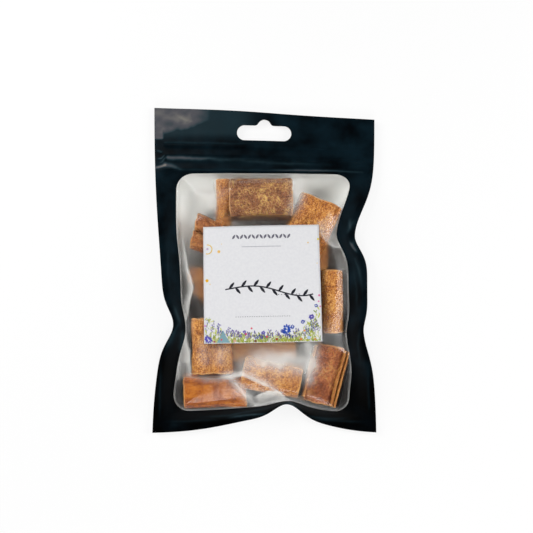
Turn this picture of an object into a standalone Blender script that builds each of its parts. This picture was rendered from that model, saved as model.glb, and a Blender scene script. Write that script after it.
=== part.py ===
"""Zip-top window pouch of cut cinnamon sticks, lying on its back with the label up.

A flat film pouch, 4 x 6 in, filled with short sticks: its sides and its bottom seal are
drawn in by the filling, its header with the zip and the hang hole stays flat. The filled
pouch is one solid out to its film; the stuck-on label is a second, thin solid.

Frame: +Z up, +Y towards the header, origin under the middle of the bounding box.
All driving dimensions are in millimetres and are turned to metres where a mesh is made.
"""
import math

import bmesh
import bpy
import numpy as np

MM = 0.001                      # metres in a millimetre

# Pouch outline
POUCH_WIDTH = 101.6             # 4 in, across the header
POUCH_LENGTH = 148.5            # 6 in of film, less what the filling takes up
TOP_DROP = 5.35                 # the cut top edge runs down to the right by this much
TOP_BOW = 0.8                   # and is bowed upward left of the middle
SIDE_SEAL = 4.0                 # width of the welded strip at each side
BOTTOM_SEAL = 5.0               # width of the welded strip at the bottom

# Pull of the filling on the edges: (centre, depth, spread before, spread after)
LEFT_PULLS = [(-21.0, 4.7, 21.7, 34.6), (-25.4, 4.9, 6.6, 6.6)]
RIGHT_PULLS = [(-9.1, 4.1, 25.7, 27.7), (15.6, 6.8, 6.5, 11.7), (-28.9, 2.7, 8.7, 5.4)]
BOTTOM_PULLS = [(7.5, 7.4, 21.7, 17.8), (10.5, 5.7, 5.7, 5.7)]
OUTLINE_MIDDLE = (0.0, 0.18)    # of the drawn-in outline, which the origin is put under
BOTTOM_FADE = 30.0              # the notch in the bottom seal dies out over this height
DROP_START = 36.0               # the header's slope starts at this height

# Header
ZIP_LINE = 51.0                 # middle of the press-to-close ridge
ZIP_HALF_BAND = 6.2             # from there to the welded line above and below
ZIP_RIDGE = 0.9                 # how far the ridge stands out of the film
WELD_RIDGE = 0.35               # the same for the two welded lines
RIDGE_HALF_WIDTH = 1.0
FILM = 0.5                      # thickness of the two films where they lie together
SLOT_CENTRE = (-0.1, 62.4)
SLOT_LENGTH = 25.0
SLOT_WIDTH = 7.0
SLOT_TURN = math.radians(-1.6)
SLOT_BUMP_RADIUS = 3.1
SLOT_BUMP_RISE = 3.2            # centre of the bump above the slot's middle line
CUTTER_DEPTH = 40.0

# Filling
SEAM_LOW = 2.2                  # height of the seam at the header's end and the bottom
SEAM_LIFT = 2.2                 # and how much higher it is beside the filling
SEAM_SPREAD = 45.0
TENT_HEIGHT = 12.5              # film between the sticks, mid pouch
SIDE_RISE = 25.0                # distance over which the front rises from a side seal
END_RISE = 24.0                 # the same from the bottom seal and from the zip
FLOOR_RISE = 13.0               # distance over which the back comes down to the flat
BLEND = 0.9                     # softness of the film where it bridges from stick to stick

# Sticks that lift the front: x, y, heading in degrees, length, width, crest height
STICKS = [
    (-2.4, 33.0, 0.0, 28.0, 19.0, 15.0),      # across, below the zip
    (-18.0, 33.0, 88.0, 20.0, 11.0, 12.5),    # upright beside it
    (20.5, 27.5, 68.0, 27.0, 17.0, 16.5),     # upper right, double scroll
    (-25.5, 13.5, -8.0, 26.0, 18.5, 15.5),    # upper left, double scroll
    (31.0, -12.5, 88.0, 28.0, 14.0, 17.0),    # right, upright
    (-29.0, -9.0, 62.0, 25.0, 12.0, 12.5),    # left, deep
    (-25.0, -34.0, 91.0, 27.0, 18.5, 19.5),   # lower left, double scroll
    (-21.5, -53.5, 2.0, 28.0, 14.5, 17.0),    # across, bottom left
    (3.0, -46.5, -14.0, 28.0, 17.5, 20.0),    # across, bottom middle
    (28.0, -48.0, 76.0, 28.5, 18.5, 19.5),    # bottom right, large
]
END_FALL = 0.45                 # steepness past a stick's end, per mm squared

# Label
LABEL_SIDE = 50.8               # 2 in square
LABEL_CENTRE = (-0.6, -7.5)
LABEL_TURN = math.radians(1.2)
LABEL_HEIGHT = 18.8             # of the film under the label's middle
LABEL_SLOPE = -0.1              # rise per mm towards the header
LABEL_CURL = 0.0018             # its sides fall by this times the distance squared
LABEL_GAP = 0.3
LABEL_THICKNESS = 0.3
LABEL_CELLS = 12
LABEL_MARGIN = 8.0              # the film leaves the label's plane over this distance

# Faceting
COLUMNS = 36
BODY_ROWS = 35
HEADER_ROWS = 6


def bell(x, centre, spread_before, spread_after):
    """Gaussian bump with its own width on either side of its centre."""
    spread = np.where(x < centre, spread_before, spread_after)
    return np.exp(-0.5 * ((x - centre) / spread) ** 2)


def pull(x, pulls):
    return sum(depth * bell(x, centre, before, after) for centre, depth, before, after in pulls)


def smooth_step(x):
    t = np.clip(x, 0.0, 1.0)
    return t * t * (3.0 - 2.0 * t)


def lay_out(across, along):
    """Places of the film's points in plan, from flat-film coordinates.

    across runs from -1 to 1 between the side edges, along is the height on the flat film
    in mm. The bottom notch and the slope of the top edge fade out towards the middle, and
    each row then fits between the two drawn-in sides.
    """
    x_flat = across * POUCH_WIDTH / 2
    notch = pull(x_flat, BOTTOM_PULLS) * np.clip(1 - (along + POUCH_LENGTH / 2) / BOTTOM_FADE, 0, 1) ** 2
    header = smooth_step((along - DROP_START) / (POUCH_LENGTH / 2 - DROP_START))
    bow = TOP_BOW * bell(x_flat, -15.0, 20.0, 20.0)
    drop = (TOP_DROP * (across + 1) / 2 - bow) * header
    y = along + notch - drop
    left = -POUCH_WIDTH / 2 + pull(y, LEFT_PULLS)
    right = POUCH_WIDTH / 2 - pull(y, RIGHT_PULLS)
    x = left + (right - left) * (across + 1) / 2
    return x - OUTLINE_MIDDLE[0], y - OUTLINE_MIDDLE[1]


def rise(distance, reach):
    return np.sin(0.5 * np.pi * np.clip(distance / reach, 0, 1)) ** 0.9


def seam_height(y):
    return SEAM_LOW + SEAM_LIFT * np.exp(-(y / SEAM_SPREAD) ** 2)


def turned(x, y, centre, angle):
    """x and y measured from a centre, along and across a direction."""
    dx, dy = x - centre[0], y - centre[1]
    return dx * math.cos(angle) + dy * math.sin(angle), dy * math.cos(angle) - dx * math.sin(angle)


def stick_crown(x, y, stick):
    """Height of one stick's rounded back, falling off steeply past its ends."""
    centre_x, centre_y, heading, length, width, crest = stick
    lengthwise, crosswise = turned(x, y, (centre_x, centre_y), math.radians(heading))
    past_end = np.maximum(np.abs(lengthwise) - length / 2 + 2.0, 0.0)
    return crest - crosswise ** 2 / width - END_FALL * past_end ** 2


def label_plane(x, y):
    """Height of the film where the label holds it: a sloping sheet, curled at the sides."""
    lengthwise, crosswise = turned(x, y, LABEL_CENTRE, LABEL_TURN)
    return LABEL_HEIGHT + LABEL_SLOPE * crosswise - LABEL_CURL * lengthwise ** 2


def front_height(x, y):
    """Film height mid pouch: bridged softly from stick to stick, flat under the label."""
    layers = [np.full_like(x, TENT_HEIGHT)] + [stick_crown(x, y, stick) for stick in STICKS]
    top = np.max(layers, axis=0)
    bridged = top + BLEND * np.log(sum(np.exp((layer - top) / BLEND) for layer in layers))
    lengthwise, crosswise = turned(x, y, LABEL_CENTRE, LABEL_TURN)
    outside = np.maximum(np.abs(lengthwise), np.abs(crosswise)) - LABEL_SIDE / 2
    held = 1 - smooth_step((outside - 0.5) / LABEL_MARGIN)
    return bridged + (label_plane(x, y) - bridged) * held


def ridge(along):
    """The zip's ridge and the welded lines above and below it, as seen on one face."""
    height = ZIP_RIDGE * np.exp(-((along - ZIP_LINE) / RIDGE_HALF_WIDTH) ** 2)
    for side in (-1, 1):
        line = ZIP_LINE + side * ZIP_HALF_BAND
        height = height + WELD_RIDGE * np.exp(-((along - line) / RIDGE_HALF_WIDTH) ** 2)
    return height


def film_heights(across, along, x, y):
    """Front and back heights of the filled pouch over its plan."""
    from_side = (1 - np.abs(across)) * POUCH_WIDTH / 2 - SIDE_SEAL
    from_bottom = along + POUCH_LENGTH / 2 - BOTTOM_SEAL
    from_zip = ZIP_LINE - ZIP_HALF_BAND - along
    seam = seam_height(y)
    fullness = rise(from_side, SIDE_RISE) * rise(from_bottom, END_RISE) * rise(from_zip, END_RISE)
    settled = (smooth_step(from_side / FLOOR_RISE) * smooth_step(from_bottom / FLOOR_RISE)
               * smooth_step(from_zip / FLOOR_RISE))
    zip_ridge = ridge(along) * smooth_step(from_side / 2.0)
    front = seam + FILM / 2 + zip_ridge + (front_height(x, y) - seam - FILM / 2) * fullness
    back = (seam - FILM / 2 - zip_ridge) * (1 - settled)
    return front, back


def row_levels():
    """Heights of the rows on the flat film: close together over the zip's ridges."""
    bottom, top = -POUCH_LENGTH / 2, POUCH_LENGTH / 2
    step = RIDGE_HALF_WIDTH
    ridges = [ZIP_LINE + side * ZIP_HALF_BAND + k * step for side in (-1, 0, 1) for k in (-2, -1, 0, 1, 2)]
    body = np.concatenate([[bottom], np.linspace(bottom + BOTTOM_SEAL, ridges[0] - 2.0, BODY_ROWS)])
    header = np.linspace(ridges[-1] + 2.0, top, HEADER_ROWS)
    return np.concatenate([body, ridges, header])


def place(verts, coordinates):
    for vert, point in zip(verts, coordinates):
        vert.co = point * MM


def grid_parameters(verts):
    """Each grid point's place in its square, from -1 to 1 both ways."""
    plan = np.array([vert.co[:2] for vert in verts])
    return plan[:, 0], plan[:, 1]


def closed_sheet(bm, columns, rows, front_and_back):
    """A closed thin body: a grid for its back, drawn out to a second one for its front.

    front_and_back takes the grid's two parameters and gives the points of both faces.
    """
    backs = bmesh.ops.create_grid(bm, x_segments=columns, y_segments=rows, size=1.0)["verts"]
    drawn = bmesh.ops.extrude_face_region(bm, geom=bm.faces[:], use_keep_orig=True)["geom"]
    fronts = [item for item in drawn if isinstance(item, bmesh.types.BMVert)]
    back_points = front_and_back(*grid_parameters(backs))[1]
    front_points = front_and_back(*grid_parameters(fronts))[0]
    place(backs, back_points)
    place(fronts, front_points)
    bmesh.ops.recalc_face_normals(bm, faces=bm.faces)


def pouch_faces(across, row):
    levels = row_levels()
    along = np.interp((row + 1) / 2, np.linspace(0, 1, len(levels)), levels)
    x, y = lay_out(across, along)
    front, back = film_heights(across, along, x, y)
    return np.column_stack([x, y, front]), np.column_stack([x, y, back])


def label_faces(across, up):
    half = LABEL_SIDE / 2
    cosine, sine = math.cos(LABEL_TURN), math.sin(LABEL_TURN)
    x = LABEL_CENTRE[0] + half * (across * cosine - up * sine)
    y = LABEL_CENTRE[1] + half * (across * sine + up * cosine)
    back = label_plane(x, y) + LABEL_GAP
    return np.column_stack([x, y, back + LABEL_THICKNESS]), np.column_stack([x, y, back])


def material(name, colour, roughness, metallic=0.0):
    made = bpy.data.materials.new(name)
    made.use_nodes = True
    shader = made.node_tree.nodes["Principled BSDF"]
    shader.inputs["Base Color"].default_value = (*colour, 1.0)
    shader.inputs["Roughness"].default_value = roughness
    shader.inputs["Metallic"].default_value = metallic
    return made


def new_object(name, mesh, collection, finish=None):
    made = bpy.data.objects.new(name, mesh)
    collection.objects.link(made)
    if finish:
        mesh.materials.append(finish)
    return made


def sheet_object(name, columns, rows, front_and_back, collection, finish):
    bm = bmesh.new()
    closed_sheet(bm, columns, rows, front_and_back)
    mesh = bpy.data.meshes.new(name)
    bm.to_mesh(mesh)
    bm.free()
    mesh.shade_smooth()
    mesh.set_sharp_from_angle(angle=math.radians(40))
    return new_object(name, mesh, collection, finish)


def round_cutter(name, radius, stretch, collection):
    """An upright prism with round ends: a cylinder whose halves are moved apart."""
    bm = bmesh.new()
    bmesh.ops.create_cone(bm, cap_ends=True, segments=46, radius1=radius * MM,
                          radius2=radius * MM, depth=CUTTER_DEPTH * MM)
    for vert in bm.verts:
        vert.co.x += math.copysign(stretch / 2 * MM, vert.co.x)
    mesh = bpy.data.meshes.new(name)
    bm.to_mesh(mesh)
    bm.free()
    cutter = new_object(name, mesh, collection)
    cutter.hide_render = True
    cutter.display_type = "WIRE"
    return cutter


def slot_cutters(collection):
    """The hang hole: a slot with round ends and a round bump over its middle."""
    slot = round_cutter("slot_cutter", SLOT_WIDTH / 2, SLOT_LENGTH - SLOT_WIDTH, collection)
    slot.location = (SLOT_CENTRE[0] * MM, SLOT_CENTRE[1] * MM, 0)
    slot.rotation_euler = (0, 0, SLOT_TURN)
    bump = round_cutter("bump_cutter", SLOT_BUMP_RADIUS, 0.0, collection)
    bump.parent = slot
    bump.location = (0, SLOT_BUMP_RISE * MM, 0)
    return [slot, bump]


def cut(target, cutters):
    for cutter in cutters:
        modifier = target.modifiers.new(cutter.name, "BOOLEAN")
        modifier.operation = "DIFFERENCE"
        modifier.object = cutter


def new_collection(name):
    made = bpy.data.collections.new(name)
    bpy.context.scene.collection.children.link(made)
    return made


def main():
    for old in list(bpy.data.objects):
        bpy.data.objects.remove(old)
    parts = new_collection("cinnamon_pouch")
    cutters = new_collection("cutters")
    film = material("black laminate film", (0.006, 0.012, 0.016), 0.38)
    paper = material("label paper", (0.78, 0.78, 0.80), 0.6)
    pouch = sheet_object("pouch", COLUMNS, len(row_levels()) - 1, pouch_faces, parts, film)
    cut(pouch, slot_cutters(cutters))
    sheet_object("label", LABEL_CELLS, LABEL_CELLS, label_faces, parts, paper)


main()
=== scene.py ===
import math

import bpy
import numpy as np
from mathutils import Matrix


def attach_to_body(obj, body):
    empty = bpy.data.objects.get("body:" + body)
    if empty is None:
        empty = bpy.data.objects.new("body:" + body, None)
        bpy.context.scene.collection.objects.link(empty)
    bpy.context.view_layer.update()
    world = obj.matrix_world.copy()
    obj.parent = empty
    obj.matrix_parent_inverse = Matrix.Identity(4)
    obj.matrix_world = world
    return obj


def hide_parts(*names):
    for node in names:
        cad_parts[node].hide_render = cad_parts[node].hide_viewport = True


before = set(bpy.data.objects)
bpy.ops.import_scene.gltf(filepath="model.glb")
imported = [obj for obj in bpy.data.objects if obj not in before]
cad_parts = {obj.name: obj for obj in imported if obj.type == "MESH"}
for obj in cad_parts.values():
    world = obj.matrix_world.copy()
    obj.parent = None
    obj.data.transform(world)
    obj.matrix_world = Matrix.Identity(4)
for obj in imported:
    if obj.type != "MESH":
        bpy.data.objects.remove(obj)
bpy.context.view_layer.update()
mm = 0.001
print("frame loaded")


def linear(hexColour, alpha=1.0):
    # sRGB hex to the linear values that the shader wants
    parts = [int(hexColour[i:i + 2], 16) / 255 for i in (1, 3, 5)]
    return tuple(c / 12.92 if c <= 0.04045 else ((c + 0.055) / 1.055) ** 2.4 for c in parts) + (alpha,)


def smoothStep(x):
    t = np.clip(x, 0.0, 1.0)
    return t * t * (3.0 - 2.0 * t)


def bell(x, centre, before, after):
    # a bump with its own width on either side of its centre
    return np.exp(-0.5 * ((x - centre) / np.where(x < centre, before, after)) ** 2)


def turned(x, y, centre, angle):
    # x and y measured from a centre, along and across a direction
    dx, dy = x - centre[0], y - centre[1]
    return dx * math.cos(angle) + dy * math.sin(angle), dy * math.cos(angle) - dx * math.sin(angle)


def valueNoise(x, y, seed):
    # random heights on a unit lattice, blended smoothly between its corners; -1 to 1
    lattice = np.random.default_rng(seed).uniform(-1.0, 1.0, (128, 128))
    cellX, cellY = np.floor(x).astype(int), np.floor(y).astype(int)
    fx, fy = smoothStep(x - cellX), smoothStep(y - cellY)
    i, j = cellX % 128, cellY % 128
    nextI, nextJ = (i + 1) % 128, (j + 1) % 128
    low = lattice[i, j] * (1 - fx) + lattice[nextI, j] * fx
    high = lattice[i, nextJ] * (1 - fx) + lattice[nextI, nextJ] * fx
    return low * (1 - fy) + high * fy


def fractalNoise(x, y, seed, octaves=3):
    # value noise summed over finer and finer lattices, each half as strong
    total = 0
    for k in range(octaves):
        total = total + valueNoise(x * 2 ** k + 7.3 * k, y * 2 ** k + 3.1 * k, seed + k) / 2 ** k
    return total / (2 - 2 / 2 ** octaves)


def meshObject(name, points, blocks, materials, smooth=True, attributes=None):
    # points in mm; blocks holds the faces in whole arrays, one for each corner count
    mesh = bpy.data.meshes.new(name)
    counts = np.concatenate([np.full(len(block), block.shape[1]) for block in blocks])
    corners = np.concatenate([block.ravel() for block in blocks])
    mesh.vertices.add(len(points))
    mesh.vertices.foreach_set("co", (points * mm).astype(np.float32).ravel())
    mesh.loops.add(len(corners))
    mesh.loops.foreach_set("vertex_index", corners.astype(np.int32))
    mesh.polygons.add(len(counts))
    mesh.polygons.foreach_set("loop_start", (np.cumsum(counts) - counts).astype(np.int32))
    mesh.polygons.foreach_set("use_smooth", np.full(len(counts), smooth))
    mesh.update(calc_edges=True)
    kinds = {1: ("FLOAT", "value"), 3: ("FLOAT_VECTOR", "vector"), 4: ("FLOAT_COLOR", "color")}
    for key, values in (attributes or {}).items():
        kind, field = kinds[values.shape[1] if values.ndim == 2 else 1]
        layer = mesh.attributes.new(key, kind, "POINT")
        layer.data.foreach_set(field, values.astype(np.float32).ravel())
    for material in materials:
        mesh.materials.append(material)
    mesh.validate()
    made = bpy.data.objects.new(name, mesh)
    bpy.context.scene.collection.objects.link(made)
    return made


def gridFaces(rows, columns):
    index = np.arange(rows * columns).reshape(rows, columns)
    return np.stack([index[:-1, :-1], index[:-1, 1:], index[1:, 1:], index[1:, :-1]], axis=-1).reshape(-1, 4)


def attach(piece, slot, *nodes):
    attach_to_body(piece, "root")
    if nodes:
        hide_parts(*nodes)
    return piece


sticks = [
    # place of the middle in plan, height of the upper side, and the section across the stick
    dict(name="stickTopAcross", section="back", x=-1.4, y=31.0, crest=15.5, heading=1.5, pitch=0, roll=180,
         length=27.8, width=18.5, wall=1.6, bark="veined", seed=11),
    dict(name="stickTopUpright", section="single", x=-18.3, y=29.4, crest=11.2, heading=90, pitch=4, roll=20,
         length=20.5, width=9.2, wall=1.4, bark="scraped", seed=12),
    dict(name="stickUpperRight", section="saddle", x=20.3, y=17.6, crest=14.2, heading=68, pitch=4.5,
         roll=180, length=27.0, width=19.8, wall=1.4, bark="scraped", seed=13),
    dict(name="stickUpperLeft", section="double", x=-18.9, y=11.4, crest=15.0, heading=-22, pitch=0, roll=4,
         length=26.5, width=14.6, wall=1.2, taper=0.2, skew=0.17, bark="rough", seed=14),
    dict(name="stickLeftDeepUpper", section="single", x=-22.5, y=-4.0, crest=9.9, heading=-6, pitch=0,
         roll=90, length=23.0, width=9.2, wall=1.4, bark="scraped", seed=15),
    dict(name="stickLeftDeepLower", section="single", x=-23.5, y=-15.0, crest=9.4, heading=-38, pitch=0,
         roll=200, length=20.0, width=7.6, wall=1.3, bark="scraped", seed=16),
    dict(name="stickLowerLeft", section="grooved", x=-22.6, y=-34.2, crest=18.7, heading=90.8, pitch=-2.5,
         roll=180, length=23.7, width=18.4, wall=1.2, bark="scraped", seed=17),
    dict(name="stickBottomLeft", section="back", x=-21.6, y=-54.1, crest=15.5, heading=2.5, pitch=0,
         roll=180, length=27.0, width=15.2, wall=1.5, bark="golden", seed=18),
    dict(name="stickBottomMiddle", section="back", x=3.3, y=-47.6, crest=19.7, heading=-11.5, pitch=0,
         roll=180, length=25.3, width=14.8, wall=1.5, taper=0.12, bark="scraped", seed=19),
    dict(name="stickBottomRight", section="back", x=26.0, y=-46.6, crest=16.6, heading=77, pitch=6, roll=174,
         length=25.6, width=13.8, wall=1.7, bark="redBark", seed=20),
    dict(name="sliverRightInner", section="sliver", x=32.0, y=-48.4, crest=16.0, heading=76.5, pitch=4,
         roll=0, length=24.6, width=1.8, wall=1.5, bark="scraped", seed=31),
    dict(name="sliverRightOuter", section="sliver", x=33.6, y=-49.1, crest=15.0, heading=76.5, pitch=4,
         roll=0, length=25.0, width=1.6, wall=1.3, bark="scraped", seed=32),
    dict(name="sliverLeft", section="sliver", x=19.6, y=-44.9, crest=17.0, heading=76.2, pitch=5, roll=0,
         length=22.6, width=1.6, wall=1.3, bark="scraped", seed=33),
    dict(name="stickRight", section="single", x=30.1, y=-14.9, crest=16.6, heading=90.5, pitch=0, roll=150,
         length=27.4, width=12.4, wall=1.5, bark="scraped", seed=21),
    dict(name="stickRightDeep", section="single", x=24.6, y=3.6, crest=9.6, heading=84, pitch=0, roll=120,
         length=25.0, width=9.6, wall=1.4, bark="scraped", seed=22),
    dict(name="stickMiddleDeep", section="double", x=0.0, y=-33.2, crest=14.5, heading=3, pitch=0, roll=180,
         length=27.0, width=17.0, wall=1.5, bark="scraped", seed=23),
    dict(name="stickLowerDeep", section="single", x=-9.5, y=-41.0, crest=10.5, heading=78, pitch=0, roll=60,
         length=25.0, width=9.4, wall=1.4, bark="rough", seed=24),
    dict(name="stickCentreDeep", section="double", x=-2.0, y=-8.0, crest=15.5, heading=40, pitch=0, roll=0,
         length=28.0, width=18.0, wall=1.5, bark="scraped", seed=25),
]
sectionHeights = {"double": 0.54, "back": 0.56, "saddle": 0.55, "grooved": 0.55, "single": 1.0,
                  "sliver": 3.6}
floorBulges = {"back": 0.9, "saddle": -0.8, "grooved": -2.4, "double": 0.3}  # out from the roll, mm
for stick in sticks:
    stick["height"] = sectionHeights[stick["section"]] * stick["width"]


def stickCrown(x, y, stick):
    # height of a stick's upper side over the plan: rounded across, cut square at its ends
    along, across = turned(x, y, (stick["x"], stick["y"]), math.radians(stick["heading"]))
    across = across / (1 - stick.get("taper", 0) * along / stick["length"])
    along = along + across * stick.get("skew", 0)
    radius = stick["height"] / 2
    if stick["section"] in ("double", "saddle", "grooved"):  # two lobes side by side
        offset = np.abs(np.abs(across) - (stick["width"] / 2 - radius))
    elif stick["section"] == "back":  # a broad back with round shoulders
        offset = np.maximum(np.abs(across) - (stick["width"] / 2 - radius), 0) + np.abs(across) * 0.12
    elif stick["section"] == "sliver":
        radius = stick["width"] / 2
        offset = np.abs(across) / 1.6
    else:
        offset = np.abs(across)
    crown = stick["crest"] - radius + np.sqrt(np.clip(radius ** 2 - offset ** 2, 0, None))
    crown = crown + along * math.tan(math.radians(stick["pitch"]))
    inside = (np.abs(along) < stick["length"] / 2) & (offset < radius)
    return np.where(inside, crown, -50.0)


def scrollLine(section, width, height, wall, samples, rng):
    # the middle line of the rolled bark in cross-section: one spiral, or two that meet in a
    # shared floor, each winding inward by a little more than the bark's thickness a turn
    radius = (height - wall) / 2
    tighten = wall + 0.3
    if section == "sliver":  # a split piece of bark on its edge
        up = np.linspace(-0.5, 0.5, samples)
        return np.column_stack([0.25 * np.cos(3 * up), up * (height - wall)])
    if section == "single":
        angle = np.linspace(0, 2 * math.pi * 1.45, samples)
        r = radius - tighten * angle / (2 * math.pi) + 0.12 * np.sin(3 * angle + rng.uniform(0, 6))
        return np.column_stack([r * np.sin(angle), -r * np.cos(angle)])
    half = samples // 2
    centre = width / 2 - wall / 2 - radius
    turns = [rng.uniform(1.0, 1.25), rng.uniform(0.95, 1.2)]
    lobes = []
    for side, turn in zip((1, -1), turns):
        angle = np.linspace(0, 2 * math.pi * turn, half)
        tightened = radius - tighten * (np.maximum(angle - 0.6 * math.pi, 0) / (1.4 * math.pi)) ** 2
        r = tightened + 0.06 * np.sin(2 * angle + rng.uniform(0, 6))
        lobes.append(np.column_stack([side * (centre + r * np.sin(angle)), -r * np.cos(angle)]))
    floor = np.linspace(-1, 1, 26)[1:-1]
    profile = 0.5 + 0.5 * np.cos(math.pi * floor) if section == "grooved" else 1 - floor ** 2
    floorLine = np.column_stack([floor * centre, -radius - floorBulges[section] * profile])
    return np.concatenate([lobes[1][::-1], floorLine, lobes[0]])


def resample(line, count):
    # the same line with its points evenly spaced, and each point's distance along it
    step = np.hypot(*np.diff(line, axis=0).T)
    length = np.concatenate([[0], np.cumsum(step)])
    even = np.linspace(0, length[-1], count)
    return np.column_stack([np.interp(even, length, line[:, k]) for k in (0, 1)]), even


barkReliefs = {  # coarse warts, fine grain, ridges; in mm
    "scraped": (0.07, 0.07, 0.05),
    "golden": (0.1, 0.08, 0.08),
    "rough": (0.2, 0.1, 0.16),
    "veined": (0.2, 0.12, 0.3),
    "redBark": (0.2, 0.1, 0.2),
}


def buildStick(stick, material):
    # a ribbon of bark: its cross-section line, set off by half its thickness to either side
    # and closed at both edges, is carried along the axis; both cut ends are closed
    rng = np.random.default_rng(stick["seed"])
    sliver = stick["section"] == "sliver"
    across, along = 24 if sliver else 124, 56
    line = scrollLine(stick["section"], stick["width"], stick["height"], stick["wall"], 240, rng)
    line, arc = resample(line, across)
    tangent = np.gradient(line, axis=0)
    tangent /= np.hypot(*tangent.T)[:, None]
    normal = np.column_stack([tangent[:, 1], -tangent[:, 0]])  # points out of the roll
    place = np.linspace(-0.5, 0.5, along)[:, None] * stick["length"]
    arcGrid = np.broadcast_to(arc, (along, across))
    coarse, grain, ridges = barkReliefs[stick["bark"]]
    warts = fractalNoise(place / 2.0 + 40, arcGrid / 1.8, stick["seed"] * 3)
    fibres = valueNoise(place / 1.2 + 9, arcGrid / 0.9, stick["seed"] * 5)
    crests = 1 - np.abs(fractalNoise(place / 4.5 + 5, arcGrid / 3.0, stick["seed"] * 7)) * 2.2
    relief = coarse * warts + grain * fibres + ridges * np.clip(crests, 0, 1) ** 3
    swell = 1 + 0.035 * valueNoise(place / 9 + 3, np.zeros_like(arcGrid), stick["seed"] * 11)
    wander = 0.35 * valueNoise(place / 10 + 1, np.zeros_like(arcGrid), stick["seed"] * 13)
    thin = 0.5 * stick["wall"] * np.clip(np.minimum(arc, arc[-1] - arc) / 1.2, 0.25, 1) ** 0.5
    middle = line[None] * swell[..., None]
    outer = middle + normal[None] * (thin[None] + relief)[..., None]
    inner = middle - normal[None] * (thin[None] + 0.08 * fibres)[..., None]
    loop = np.concatenate([outer, inner[:, ::-1]], axis=1)  # one closed turn of the section
    loop = loop * (1 - stick.get("taper", 0) * place / stick["length"])[..., None]
    ends = 0.3 * valueNoise(np.concatenate([arc, arc[::-1]]) / 1.7, np.zeros(2 * across), stick["seed"] * 17)
    taper = (np.abs(place / stick["length"]) * 2) ** 12 * np.sign(place)
    x = loop[..., 0] + wander[:, :1]
    z = loop[..., 1]
    y = place + taper * ends[None] + x * stick.get("skew", 0)
    roll, heading, pitch = (math.radians(stick[key]) for key in ("roll", "heading", "pitch"))
    x, z = x * math.cos(roll) - z * math.sin(roll), x * math.sin(roll) + z * math.cos(roll)
    height = z + stick["crest"] - np.percentile(z, 99.5) + y * math.tan(pitch)
    worldX = stick["x"] + y * math.cos(heading) + x * math.sin(heading)
    worldY = stick["y"] + y * math.sin(heading) - x * math.cos(heading)
    points = np.stack([worldX, worldY, height], axis=-1).reshape(-1, 3)
    turn = 2 * across
    index = np.arange(along * turn).reshape(along, turn)
    wrapped = np.concatenate([index, index[:, :1]], axis=1)
    sides = np.stack([wrapped[:-1, :-1], wrapped[1:, :-1], wrapped[1:, 1:], wrapped[:-1, 1:]], axis=-1)
    caps = [np.stack([ring[:across - 1], ring[1:across], ring[::-1][1:across], ring[::-1][:across - 1]],
                     axis=-1)
            for ring in (index[0], index[-1])]
    faces = np.concatenate([sides.reshape(-1, 4), caps[0], caps[1][:, ::-1]])
    side = np.concatenate([np.zeros(across), np.ones(across)])
    arcLoop = np.concatenate([arc, arc[::-1]]) + 60 * side
    shift = np.full((along, turn), stick["seed"] * 9.7)
    barkPlace = np.stack(np.broadcast_arrays(place, arcLoop, shift), axis=-1).reshape(-1, 3)
    fromEnd = np.broadcast_to(stick["length"] / 2 - np.abs(place), (along, turn)).ravel()
    piece = meshObject(stick["name"], points, [faces], [material],
                       attributes={"barkPlace": barkPlace, "barkEnd": fromEnd})
    return attach(piece, "sticks")


film = {
    "width": 101.6, "length": 148.5,
    "leftPulls": [(-21.0, 4.7, 21.7, 34.6), (-25.4, 4.9, 6.6, 6.6)],
    "rightPulls": [(-9.1, 4.1, 25.7, 27.7), (15.6, 6.8, 6.5, 11.7), (-28.9, 2.7, 8.7, 5.4)],
    "bottomPulls": [(7.5, 7.4, 21.7, 17.8), (10.5, 5.7, 5.7, 5.7)],
    "notchFade": 30.0, "headerStart": 36.0, "topDrop": 5.35, "topBow": 0.8,
    "middle": (0.0, 0.18),
    "sideSeal": 4.0, "bottomSeal": 5.0,
    "zipLine": 51.0, "zipHalfBand": 6.2, "zipRidge": 0.9, "weldRidge": 0.35, "ridgeHalfWidth": 1.0,
    "seamLow": 2.2, "seamLift": 2.2, "seamSpread": 45.0,
    "floorRise": 13.0,
    "pressure": 0.11, "thickness": 0.14, "gap": 0.05, "spacing": 0.5, "backSpacing": 1.0, "clearance": 0.2,
    "farGap": 7.0, "weldStep": 0.07, "ripple": 0.1, "headerLift": 0.5, "headerLine": 50,
}
draping = {  # how the front film is drawn over the sticks; lengths in mm
    "strides": (16, 8, 4, 2, 1, 2, 1), "coarsePasses": 14, "finePasses": 6, "sagPasses": 700,
    "labelHold": 0.6, "swellStart": 6, "swellOver": 12, "tautShare": 0.4,
    "softPasses": 60, "evenPasses": 4, "softStart": 1, "softOver": 7, "pushPasses": 2, "gapPasses": 6,
}
labelPlace = {
    "side": 50.8, "centre": (-0.9, -7.1), "turn": math.radians(1.2),
    "height": 18.8, "slope": -0.1, "curl": 0.0018, "gap": 0.3, "thickness": 0.22,
}
window = {"halfWidth": 40.4, "top": 43.3, "bottom": -63.9, "tilt": -0.02, "radius": 8.0, "pinchRoom": 3.0,
          "footLeft": 0.7, "footRight": -2.6,
          "pinchAt": (-24, 5, 7), "footAt": (-58, 30, 8)}  # middle, reach below it, reach above it
hangSlot = {"centre": (-0.1, 62.4), "length": 25.0, "width": 7.0, "turn": math.radians(-1.6),
            "bumpRadius": 3.1, "bumpRise": 3.2, "fillet": 1.2}


def pull(x, pulls):
    return sum(depth * bell(x, centre, before, after) for centre, depth, before, after in pulls)


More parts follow.
